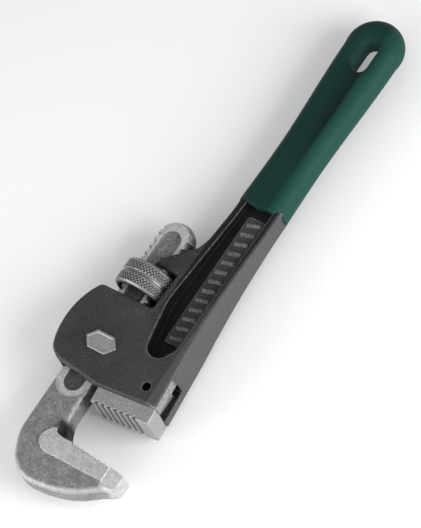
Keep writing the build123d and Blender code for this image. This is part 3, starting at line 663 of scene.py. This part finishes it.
def grip_sleeve():
    """The dipped sleeve: wavy lower edge, softened channel down each face and a rolled hang-hole rim."""
    fine_voxel, quick_voxel = 0.0008, 0.0014
    obj = bpy.data.objects.new("grip_sleeve", NODES["grip"].data.copy())
    bpy.context.scene.collection.objects.link(obj)
    remesh = obj.modifiers.new("even", "REMESH")
    remesh.mode = "VOXEL"
    remesh.voxel_size = fine_voxel
    graph = bpy.context.evaluated_depsgraph_get()
    mesh = bpy.data.meshes.new_from_object(obj.evaluated_get(graph))
    obj.modifiers.clear()
    obj.data = mesh
    co = np.zeros(len(mesh.vertices) * 3)
    mesh.vertices.foreach_get("co", co)
    co = co.reshape(-1, 3)
    x, y, z = co[:, 0].copy(), co[:, 1].copy(), co[:, 2].copy()
    low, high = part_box("grip")
    half_t = (high.z - low.z) / 2

    # The lower edge waves, and the wave dies out over its reach.
    wave_reach, section_x, section_half_w = 0.009, 0.001, 0.016
    around = np.arctan2(z / half_t, (x - section_x) / section_half_w)
    wave = 0.0006 * np.sin(2 * around + 0.9) + 0.0003 * np.sin(5 * around + 2.2)
    co[:, 1] = y + wave * np.clip((low.y + wave_reach - y) / wave_reach, 0, 1)

    # Each face dips along its channel and round the hang hole's rim.
    face_start, face_ramp = 0.62, 0.3
    channel_x, channel_width, channel_wall_x, wall_soft, channel_power = 0.010, 0.0155, 0.0068, 0.0006, 1.2
    channel_low_y, channel_lead, channel_high_y, channel_tail = 0.172, 0.05, 0.276, 0.01
    slot_half_run, slot_half_width = 0.0058, 0.0054
    dip_depth, rim_reach = 0.0017, 0.0042
    face = np.clip((np.abs(z) / half_t - face_start) / face_ramp, 0, 1)
    wall = 1 + np.exp((x - channel_wall_x) / wall_soft)
    channel = np.clip((x + channel_x) / channel_width, 0, 1) ** channel_power / wall
    lead = np.clip((y - channel_low_y) / channel_lead, 0, 1)
    tail = np.clip((channel_high_y - y) / channel_tail, 0, 1)
    past_run = np.maximum(np.abs(y - HANG_HOLE.y) - slot_half_run, 0)
    from_hole = np.maximum(np.hypot(x - HANG_HOLE.x, past_run) - slot_half_width, 0)
    rim = np.exp(-(from_hole / rim_reach) ** 2)
    co[:, 2] = z - np.sign(z) * dip_depth * np.maximum(channel * lead * tail, rim) * face
    mesh.vertices.foreach_set("co", co.ravel())
    mesh.update()
    smooth = obj.modifiers.new("soften", "SMOOTH")
    smooth.factor = 0.5
    smooth.iterations = 6
    mesh.polygons.foreach_set("use_smooth", [True] * len(mesh.polygons))
    dress(obj, grip_green)
    return obj


nut = knurled_nut()
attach(nut, "nut")
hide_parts("adjusting_nut")

sleeve = grip_sleeve()
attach(sleeve, "handle")
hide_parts("grip")

# ---- Floor, lights and camera ----
VIEW_DIR = Vector((0.468, -0.259, 0.845)).normalized()
VIEW_UP = Vector((-0.392, 0.796, 0.461)).normalized()
VIEW_RIGHT = VIEW_UP.cross(VIEW_DIR)
LOOK_AT = Vector((-0.0103, 0.1105, -0.0030))
CAMERA_DISTANCE = 2.5
FRAME_HEIGHT = 0.3124
SENSOR_WIDTH = 36.0
CLIP_START, CLIP_END = 0.05, 20.0
FLOOR_SIZE, FLOOR_Y, FLOOR_GAP = 8.0, 0.1, 0.0002
WHITE = (1, 1, 1, 1)
FLOOR_COLOUR = (0.93, 0.93, 0.93, 1)
WORLD_STRENGTH = 0.46
LIGHTS = (  # name, direction from the object, distance, width and height, watts
    ("key", (1.0, 0.10, 0.48), 1.1, (0.7, 0.7), 13),
    ("left", (-0.6, -1.0, 0.30), 1.2, (0.7, 0.7), 9),
    ("front", (0.45, -1.0, 0.50), 1.2, (0.8, 0.6), 4),
)

bpy.ops.mesh.primitive_plane_add(size=FLOOR_SIZE, location=(0, FLOOR_Y, cad_box[0].z - FLOOR_GAP))
floor = bpy.context.object
floor.name = "floor"
floor_mat, _, floor_shader = new_material("floor_pale")
floor_shader.inputs["Base Color"].default_value = FLOOR_COLOUR
floor_shader.inputs["Roughness"].default_value = 0.85
dress(floor, floor_mat)

for light_name, direction, light_distance, size, watts in LIGHTS:
    data = bpy.data.lights.new(light_name, "AREA")
    data.shape = "RECTANGLE"
    data.size, data.size_y = size
    data.energy = watts
    light = bpy.data.objects.new(light_name, data)
    bpy.context.scene.collection.objects.link(light)
    way = Vector(direction).normalized()
    light.location = LOOK_AT + way * light_distance
    light.rotation_mode = "QUATERNION"
    light.rotation_quaternion = way.to_track_quat("Z", "Y")

world = bpy.data.worlds.new("studio")
bpy.context.scene.world = world
world.use_nodes = True
world.node_tree.nodes["Background"].inputs["Color"].default_value = WHITE
world.node_tree.nodes["Background"].inputs["Strength"].default_value = WORLD_STRENGTH

camera_data = bpy.data.cameras.new("camera")
camera_data.sensor_width = SENSOR_WIDTH
camera_data.lens = CAMERA_DISTANCE * SENSOR_WIDTH / FRAME_HEIGHT
camera_data.clip_start, camera_data.clip_end = CLIP_START, CLIP_END
camera = bpy.data.objects.new("camera", camera_data)
bpy.context.scene.collection.objects.link(camera)
axes = Matrix((VIEW_RIGHT, VIEW_UP, VIEW_DIR)).transposed().to_4x4()
camera.matrix_world = Matrix.Translation(LOOK_AT + VIEW_DIR * CAMERA_DISTANCE) @ axes
bpy.context.scene.camera = camera
bpy.context.scene.view_settings.view_transform = "Standard"
